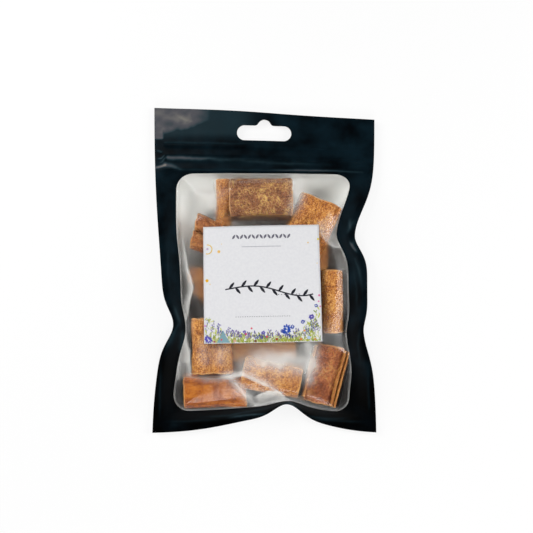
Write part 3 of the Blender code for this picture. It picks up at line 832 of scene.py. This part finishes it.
def frostedFilm():
    # frosted clear PET: sharp where it lies on a stick, soft where it stands off, milky in its folds, partly
    # frosting and partly painted glare
    material, tree, shader = newMaterial("frostedClearFilm")
    setShader(shader, Base_Color=linear("#fbfcfc"), IOR=1.3, Transmission_Weight=1.0)
    frost = addNode(tree, "ShaderNodeMapRange",
                    {"Value": readAttribute(tree, "filmGap"), "To Min": 0.06, "To Max": 0.36})
    tree.links.new(frost.outputs[0], shader.inputs["Roughness"])
    milkyFrostAndGlare = addNode(tree, "ShaderNodeBsdfPrincipled", {"Base Color": linear("#eceae6"), "Roughness": 0.4})
    tone = addNode(tree, "ShaderNodeMath", {0: readAttribute(tree, "filmTone"), 1: 0.85},
                   operation="MULTIPLY", use_clamp=True)
    surface = addNode(tree, "ShaderNodeMixShader",
                      {0: tone.outputs[0], 1: shader.outputs[0], 2: milkyFrostAndGlare.outputs[0]})
    path = addNode(tree, "ShaderNodeLightPath")
    clear = addNode(tree, "ShaderNodeBsdfTransparent", {"Color": linear("#f2f4f4")})
    mixed = addNode(tree, "ShaderNodeMixShader",
                    {0: path.outputs["Is Shadow Ray"], 1: surface.outputs[0], 2: clear.outputs[0]})
    tree.links.new(mixed.outputs[0], tree.nodes["Material Output"].inputs["Surface"])
    return material


barkColours = {
    # deep, middle and pale tone, vein colour, vein strength
    "scraped": ("#6b3414", "#a05e24", "#cc944c", "#d6ac6c", 0.15),
    "golden": ("#5a2504", "#8e4206", "#b66c16", "#c68f45", 0.2),
    "rough": ("#582a14", "#8a4c24", "#ae7644", "#c69c66", 0.4),
    "veined": ("#522b18", "#7c4e32", "#966440", "#cca85c", 0.75),
    "redBark": ("#50240f", "#804022", "#a66034", "#c8a256", 0.5),
}


def cinnamonBark(kind):
    # dried, rolled cassia bark: fine speckle and lengthwise fibres, pale cork veins, pale cut rims
    deep, middle, pale, veinColour, veins = barkColours[kind]
    material, tree, shader = newMaterial("cinnamonBark" + kind[0].upper() + kind[1:])
    long = placeAttribute(tree, "barkPlace", (0.4, 1.8, 1.0))
    even = placeAttribute(tree, "barkPlace", (1.0, 1.0, 1.0))
    blotches = addNode(tree, "ShaderNodeTexNoise",
                       {"Vector": even, "Scale": 0.25, "Detail": 4.0, "Roughness": 0.6})
    fibres = addNode(tree, "ShaderNodeTexNoise",
                     {"Vector": long, "Scale": 1.0, "Detail": 4.0, "Roughness": 0.65})
    flecks = addNode(tree, "ShaderNodeTexNoise",
                     {"Vector": even, "Scale": 1.7, "Detail": 3.0, "Roughness": 0.8})
    half = addNode(tree, "ShaderNodeMath", {0: blotches.outputs["Fac"], 1: 0.25}, operation="MULTIPLY")
    more = addNode(tree, "ShaderNodeMath", {0: fibres.outputs["Fac"], 1: 0.25, 2: half.outputs[0]},
                   operation="MULTIPLY_ADD")
    tone = addNode(tree, "ShaderNodeMath", {0: flecks.outputs["Fac"], 1: 0.6, 2: more.outputs[0]},
                   operation="MULTIPLY_ADD")
    colour = ramp(tree, tone.outputs[0], [(0.475, deep), (0.55, middle), (0.625, pale)])
    warp = addNode(tree, "ShaderNodeTexNoise", {"Vector": even, "Scale": 0.5, "Detail": 2.0})
    bent = addNode(tree, "ShaderNodeVectorMath", {0: warp.outputs["Color"], 1: (2.4, 2.4, 0.0), 2: even},
                   operation="MULTIPLY_ADD")
    cells = addNode(tree, "ShaderNodeTexVoronoi", {"Vector": bent.outputs["Vector"], "Scale": 0.62},
                    feature="DISTANCE_TO_EDGE")
    vein = addNode(tree, "ShaderNodeMapRange", {"Value": cells.outputs["Distance"], "From Min": 0.0,
                                                "From Max": 0.1, "To Min": veins, "To Max": 0.0})
    patchy = addNode(tree, "ShaderNodeMapRange", {"Value": blotches.outputs["Fac"], "From Min": 0.46,
                                                  "From Max": 0.6})
    strength = addNode(tree, "ShaderNodeMath", {0: vein.outputs[0], 1: patchy.outputs[0]},
                       operation="MULTIPLY")
    veined = addNode(tree, "ShaderNodeMix", {"Factor": strength.outputs[0], "A": colour,
                                             "B": linear(veinColour)},
                     data_type="RGBA")
    rim = addNode(tree, "ShaderNodeMapRange", {"Value": readAttribute(tree, "barkEnd"), "From Min": 0.15,
                                               "From Max": 0.6, "To Min": 0.5, "To Max": 0.0})
    cut = addNode(tree, "ShaderNodeMix", {"Factor": rim.outputs[0], "A": veined.outputs["Result"],
                                          "B": linear("#d9a468")}, data_type="RGBA")
    tree.links.new(cut.outputs["Result"], shader.inputs["Base Color"])
    bump = addNode(tree, "ShaderNodeBump", {"Height": tone.outputs[0], "Strength": 0.6, "Distance": 0.0004})
    tree.links.new(bump.outputs["Normal"], shader.inputs["Normal"])
    setShader(shader, Roughness=0.72, IOR=1.45)
    return material


def plainPaper():
    # matt coated label paper: a very even white with a faint tooth
    material, tree, shader = newMaterial("mattLabelPaper")
    coordinate = addNode(tree, "ShaderNodeTexCoord")
    tooth = addNode(tree, "ShaderNodeTexNoise",
                    {"Vector": coordinate.outputs["Object"], "Scale": 900.0, "Detail": 3.0})
    colour = ramp(tree, tooth.outputs["Fac"], [(0.3, "#e8e8eb"), (0.7, "#eeeef0")])
    tree.links.new(colour, shader.inputs["Base Color"])
    setShader(shader, Roughness=0.6)
    return material


def printedInk():
    # watercolour-like print: flat colour carried by each printed shape
    material, tree, shader = newMaterial("printedInk")
    tree.links.new(readAttribute(tree, "inkColour", "Color"), shader.inputs["Base Color"])
    setShader(shader, Roughness=0.6)
    return material


def onLabel(u, v, lift=0.0):
    # from places on the label, measured from its middle, to places in the scene
    cosine, sine = math.cos(labelPlace["turn"]), math.sin(labelPlace["turn"])
    x = labelPlace["centre"][0] + u * cosine - v * sine
    y = labelPlace["centre"][1] + u * sine + v * cosine
    return np.stack([x, y, labelPlane(x, y) + labelPlace["gap"] + labelPlace["thickness"] + lift], axis=-1)


def buildLabel(material):
    # the film's sloping plane, set off by the label's gap, on a square grid
    cells = 41
    axis = np.linspace(-0.5, 0.5, cells) * labelPlace["side"]
    u, v = np.meshgrid(axis, axis)
    piece = meshObject("paperLabel", onLabel(u, v).reshape(-1, 3), [gridFaces(cells, cells)], [material])
    thicken(piece, labelPlace["thickness"])
    return attach(piece, "paper", "label")


meadow = {
    "base": 5.0, "leftRise": 7.0, "rightRise": 11.0, "leaves": 560, "sprigs": 30, "florets": 10, "seed": 4,
    "greens": ["#b8c23a", "#a6b032", "#cfd268", "#8d9a3c", "#c8cc8c", "#dfe0a0", "#93a763"],
    "violets": ["#584a9c", "#6a5cb4", "#473c8e", "#8a7cc0", "#7c62a4", "#3f4ba6", "#9a8cc8"],
}
blossoms = [  # u, v, radius, colour
    (-23.6, -23.6, 2.0, "#5a52b8"), (10.4, -20.0, 2.3, "#2450b4"), (8.4, -20.6, 1.1, "#3a4fa8"),
    (12.6, -19.0, 1.1, "#3555b0"), (17.2, -16.8, 1.1, "#4a56ae"), (21.0, -14.8, 1.4, "#5b50ae"),
    (23.2, -10.0, 0.9, "#4657b0"), (0.2, -21.2, 1.0, "#5b52b6"), (-8.0, -20.6, 0.9, "#6a58b0"),
]
inkDots = [  # u, v, radius, colour
    (-23.9, 1.7, 0.72, "#f2bb2a"), (-22.6, 0.1, 0.28, "#f2cf8a"), (-18.6, 14.3, 0.7, "#f0c46e"),
    (-17.4, 17.6, 0.22, "#f0d28c"), (20.4, 17.5, 0.32, "#efc766"), (24.9, 19.0, 0.5, "#ecd84a"),
    (24.1, 8.4, 0.26, "#efd79a"), (-23.6, 15.6, 0.55, "#c9b4d0"), (-4.9, -19.2, 0.42, "#e2456a"),
    (-7.4, -21.6, 0.5, "#d83a78"), (1.6, -22.9, 0.45, "#d8365a"), (-17.9, -23.8, 0.42, "#e04a5c"),
    (-21.0, -24.6, 0.42, "#b0386c"), (17.8, -20.6, 0.5, "#f0a45c"), (16.2, -24.2, 0.55, "#e8843c"),
    (-3.3, -24.6, 0.6, "#7a5238"), (5.8, -24.0, 0.6, "#a05a34"), (22.2, -24.3, 0.45, "#e79a58"),
    (-12.2, -24.4, 0.6, "#e3b49c"), (19.6, -23.6, 0.8, "#b7cbe8"), (24.6, -5.6, 0.5, "#e074a4"),
    (24.3, -8.2, 0.4, "#e58ab4"), (24.9, -10.4, 0.4, "#e58ab4"), (-24.9, -17.8, 0.5, "#d79ad8"),
]


def inkColours(names):
    return np.array([linear(name) for name in names])


def petals(centres, sizes, angles, corners=8):
    # pointed ellipses, each turned about its own centre
    turn = np.linspace(0, 2 * math.pi, corners, endpoint=False)
    shape = np.column_stack([np.cos(turn), np.sin(turn) * (1 - 0.4 * np.cos(turn) ** 2)])
    local = shape[None] * sizes[:, None]
    cosine, sine = np.cos(angles)[:, None], np.sin(angles)[:, None]
    return np.stack([centres[:, :1] + local[..., 0] * cosine - local[..., 1] * sine,
                     centres[:, 1:] + local[..., 0] * sine + local[..., 1] * cosine], axis=-1)


def ribbons(paths, widths):
    # quads along each path, as wide as the path's own width
    step = paths[:, 1:] - paths[:, :-1]
    side = np.stack([-step[..., 1], step[..., 0]], axis=-1)
    side = side / np.linalg.norm(side, axis=-1, keepdims=True) * widths[:, None, None] / 2
    quads = np.stack([paths[:, :-1] - side, paths[:, 1:] - side, paths[:, 1:] + side, paths[:, :-1] + side],
                     axis=2)
    return quads.reshape(-1, 4, 2)


def drawMeadow(rng):
    # a border of leaves and violet sprigs along the lower edge, taller in both corners
    def reach(u):
        left = meadow["leftRise"] * bell(u, -25, 4, 4.5)
        right = meadow["rightRise"] * bell(u, 25, 4, 5.5)
        return meadow["base"] + left + right

    half = labelPlace["side"] / 2
    u = rng.uniform(-half + 0.7, half - 0.7, meadow["leaves"])
    v = -half + 0.6 + (reach(u) - 1.5) * rng.uniform(0, 1, len(u)) ** 1.9
    sizes = np.column_stack([rng.uniform(0.4, 1.1, len(u)), rng.uniform(0.14, 0.34, len(u))])
    leaves = petals(np.column_stack([u, v]), sizes, rng.normal(math.pi / 2, 0.6, len(u)))
    layers = [(leaves, inkColours(rng.choice(meadow["greens"], len(u))))]

    count, florets = meadow["sprigs"], meadow["florets"]
    foot = np.linspace(-half + 1, half - 1, count) + rng.uniform(-0.5, 0.5, count)
    tall = reach(foot) * rng.uniform(0.55, 1.05, count)
    lean = rng.uniform(-1.2, 1.2, count) - 0.05 * foot
    t = np.linspace(0, 1, 7)
    paths = np.stack([foot[:, None] + lean[:, None] * t ** 2, -half + 0.3 + tall[:, None] * t], axis=-1)
    stems = ribbons(paths, np.full(count, 0.13))
    layers.append((stems, np.repeat(inkColours(rng.choice(["#8c9a58", "#a3a86a", "#77865a"], count)), 6,
                                    axis=0)))

    t = np.linspace(0.5, 1.0, florets)[None] + np.zeros((count, 1))
    side = np.where(np.arange(florets) % 2 == 0, 1.0, -1.0)[None] * rng.uniform(0.2, 0.65, (count, florets))
    centres = np.stack([foot[:, None] + lean[:, None] * t ** 2 + side, -half + 0.3 + tall[:, None] * t],
                       axis=-1)
    sizes = rng.uniform(0.7, 1.1, (count * florets, 1)) * np.array([[0.46, 0.24]])
    angles = (math.pi / 2 - 0.8 * side + rng.normal(0, 0.3, side.shape)).ravel()
    keep = rng.uniform(0, 1, count * florets) < 0.8
    tone = np.repeat(rng.choice(meadow["violets"], count), florets)
    layers.append((petals(centres.reshape(-1, 2), sizes, angles)[keep], inkColours(tone[keep])))

    for u, v, radius, colour in blossoms:
        angles = np.linspace(0, 2 * math.pi, 11, endpoint=False) + rng.uniform(0, 1)
        out = radius * rng.uniform(0.35, 0.75, 11)
        centres = np.column_stack([u + out * np.cos(angles), v + out * np.sin(angles)])
        sizes = radius * np.column_stack([rng.uniform(0.28, 0.42, 11), rng.uniform(0.14, 0.24, 11)])
        layers.append((petals(centres, sizes, angles), inkColours([colour] * 11)))
    return layers


ornaments = {
    "crescentAt": (-23.6, 15.4), "crescentRadius": 2.0, "crescentWidth": 0.42, "crescentColour": "#ecc863",
    "triangle": [(-19.9, -25.1), (-14.2, -25.1), (-16.2, -22.0), (-17.0, -19.9), (-18.2, -22.2)],
    "triangleColour": "#84aab4", "ink": "#23242e",
    "stemStart": -16, "stemLength": 38, "stemHeight": -2.6, "stemSwing": 2.4, "stemWidth": 0.55,
    "leafCount": 14, "leafSize": (1.9, 0.62), "leafAhead": 0.5, "leafAside": 1.25, "leafTilt": 0.9,
    "ruleReach": 8.6, "ruleHeight": 16.2, "ruleWidth": 0.24, "ruleColour": "#b4b4bc",
}
leafRows = [  # height on the label, middle, width, count, leaf size, tilt, colour
    (20.6, 0, 24.0, 15, 1.15, 1.0, "#6d6b78"),
    (-4.9, 11.5, 9.0, 8, 0.42, 0.5, "#86858e"),
    (-14.2, 0, 23.0, 24, 0.3, 0.5, "#5c5b66"),
]


def alternate(count):
    return np.where(np.arange(count) % 2 == 0, 1.0, -1.0)


def onStem(t):
    # a wave along the label that swings wider towards its right end
    swing = ornaments["stemSwing"] * np.sin(5.2 * t + 0.3) * (0.4 + t)
    return ornaments["stemStart"] + ornaments["stemLength"] * t, ornaments["stemHeight"] + swing


def drawOrnaments():
    # dots, a crescent, a teal triangle, and leaves and a rule where a label carries its words
    places = np.array([dot[:2] for dot in inkDots])
    radii = np.array([[dot[2], dot[2]] for dot in inkDots])
    layers = [(petals(places, radii, np.zeros(len(places)), 12), inkColours([dot[3] for dot in inkDots]))]
    turn = np.linspace(-1.9, 1.7, 15)
    u, v = ornaments["crescentAt"]
    radius = ornaments["crescentRadius"]
    arc = np.stack([u + radius * np.cos(turn), v + radius * np.sin(turn)], axis=-1)[None]
    layers.append((ribbons(arc, np.array([ornaments["crescentWidth"]])),
                   inkColours([ornaments["crescentColour"]] * 14)))
    layers.append((np.array([ornaments["triangle"]]), inkColours([ornaments["triangleColour"]])))

    stem = np.stack(onStem(np.linspace(0, 1, 40)), axis=-1)[None]
    layers.append((ribbons(stem, np.array([ornaments["stemWidth"]])), inkColours([ornaments["ink"]] * 39)))
    count = ornaments["leafCount"]
    side = alternate(count)
    u, v = onStem(np.linspace(0.06, 0.97, count))
    centres = np.stack([u + ornaments["leafAhead"], v + ornaments["leafAside"] * side], axis=-1)
    sizes = np.tile(ornaments["leafSize"], (count, 1))
    leaves = petals(centres, sizes, ornaments["leafTilt"] * side)
    layers.append((leaves, inkColours([ornaments["ink"]] * count)))

    for height, middle, width, count, size, tilt, colour in leafRows:
        across = np.linspace(-width / 2, width / 2, count) + middle
        centres = np.column_stack([across, np.full(count, height)])
        sizes = np.tile((size, size * 0.42), (count, 1))
        layers.append((petals(centres, sizes, alternate(count) * tilt), inkColours([colour] * count)))
    reach = ornaments["ruleReach"]
    rule = np.stack([np.linspace(-reach, reach, 18), np.full(18, ornaments["ruleHeight"])], axis=-1)[None]
    layers.append((ribbons(rule, np.array([ornaments["ruleWidth"]])),
                   inkColours([ornaments["ruleColour"]] * 17)))
    return layers


def buildPrint(material):
    # every printed shape is a flat face a hair above the paper, later layers above earlier ones
    layers = drawMeadow(np.random.default_rng(meadow["seed"])) + drawOrnaments()
    limit = labelPlace["side"] / 2 - 0.15
    points, blocks, colours, total = [], [], [], 0
    for level, (shapes, ink) in enumerate(layers):
        count, corners = shapes.shape[:2]
        u, v = np.clip(shapes[..., 0], -limit, limit).ravel(), np.clip(shapes[..., 1], -limit, limit).ravel()
        points.append(onLabel(u, v, 0.02 + 0.002 * level))
        blocks.append(total + np.arange(count * corners).reshape(count, corners))
        colours.append(np.repeat(ink, corners, axis=0))
        total += count * corners
    piece = meshObject("labelPrint", np.concatenate(points), blocks, [material], smooth=False,
                       attributes={"inkColour": np.concatenate(colours)})
    return attach(piece, "paper")


def buildStage():
    # a pale floor that the camera sees as white with the object's soft shadow on it
    material, tree, shader = newMaterial("paleFloor")
    output = tree.nodes["Material Output"]
    setShader(shader, Base_Color=linear("#f2f2f2"), Roughness=0.9)
    path = addNode(tree, "ShaderNodeLightPath")
    seen = addNode(tree, "ShaderNodeMath", {0: path.outputs["Is Camera Ray"],
                                            1: path.outputs["Is Transmission Ray"]},
                   operation="MAXIMUM")
    rays = addNode(tree, "ShaderNodeMath", {0: seen.outputs[0], 1: path.outputs["Is Glossy Ray"]},
                   operation="MAXIMUM")
    level = addNode(tree, "ShaderNodeMapRange", {"Value": seen.outputs[0], "To Min": 0.06, "To Max": 1.03})
    glow = addNode(tree, "ShaderNodeEmission", {"Color": (1, 1, 1, 1), "Strength": level.outputs[0]})
    share = addNode(tree, "ShaderNodeMath", {0: rays.outputs[0], 1: 0.82}, operation="MULTIPLY")
    mixed = addNode(tree, "ShaderNodeMixShader",
                    {0: share.outputs[0], 1: shader.outputs[0], 2: glow.outputs[0]})
    tree.links.new(mixed.outputs[0], output.inputs["Surface"])
    size = 3000.0
    corners = np.array([[-size, -size, -0.05], [size, -size, -0.05], [size, size, -0.05],
                        [-size, size, -0.05]])
    floor = meshObject("floor", corners, [np.array([[0, 1, 2, 3]])], [material], smooth=False)


def areaLight(name, place, target, size, power, glossy):
    light = bpy.data.lights.new(name, "AREA")
    light.shape = "RECTANGLE"
    light.size, light.size_y = size[0] * mm, size[1] * mm
    light.energy = power
    made = bpy.data.objects.new(name, light)
    bpy.context.scene.collection.objects.link(made)
    made.location = np.array(place) * mm
    away = np.array(place, float) - np.array(target, float)
    flat = math.hypot(away[0], away[1])
    made.rotation_euler = (math.atan2(flat, away[2]), 0, math.atan2(away[0], -away[1]))
    made.visible_glossy = glossy
    return made


softboxes = [  # name, place in mm, size in mm, power in watts, whether it is mirrored in the film
    ("leftSoftbox", (-380, 200, 300), (240, 240), 1.6, False),
    ("rightSoftbox", (400, 40, 290), (240, 240), 1.2, False),
    ("frontSoftbox", (0, -420, 290), (260, 200), 1.0, False),
    ("topSoftbox", (-135, 210, 420), (110, 80), 0.12, True),
]


def buildLight():
    world = bpy.data.worlds.new("world")
    bpy.context.scene.world = world
    world.use_nodes = True
    tree = world.node_tree
    background = tree.nodes["Background"]
    path = addNode(tree, "ShaderNodeLightPath")
    seen = addNode(tree, "ShaderNodeMapRange",
                   {"Value": path.outputs["Is Camera Ray"], "To Min": 0.12, "To Max": 0.87})
    tree.links.new(seen.outputs[0], background.inputs["Strength"])
    background.inputs["Color"].default_value = (1, 1, 1, 1)
    for name, place, size, power, glossy in softboxes:
        areaLight(name, place, (0, 0, 10), size, power, glossy)


cameraPlace = {"distance": 324.9, "tilt": 2.6, "target": (1.0, 0.9, 4.94),
               "sensor": 36.0, "focal": 48.4278}


def buildCamera():
    camera = bpy.data.cameras.new("camera")
    made = bpy.data.objects.new("camera", camera)
    bpy.context.scene.collection.objects.link(made)
    bpy.context.scene.camera = made
    tilt, target = math.radians(cameraPlace["tilt"]), cameraPlace["target"]
    made.location = (target[0] * mm, (target[1] - cameraPlace["distance"] * math.sin(tilt)) * mm,
                     (target[2] + cameraPlace["distance"] * math.cos(tilt)) * mm)
    made.rotation_euler = (tilt, 0, 0)
    camera.sensor_width = cameraPlace["sensor"]
    camera.lens = cameraPlace["focal"]
    camera.clip_start, camera.clip_end = 0.01, 20.0


buildStage()
buildLight()
buildCamera()
barks = {kind: cinnamonBark(kind) for kind in barkColours}
for stick in sticks:
    buildStick(stick, barks[stick["bark"]])
print("sticks rolled")
buildFilm(blackLaminate(), silverFilm(), frostedFilm())
buildLabel(plainPaper())
buildPrint(printedInk())
print("label laid and printed")

bpy.context.scene.view_settings.view_transform = "Standard"
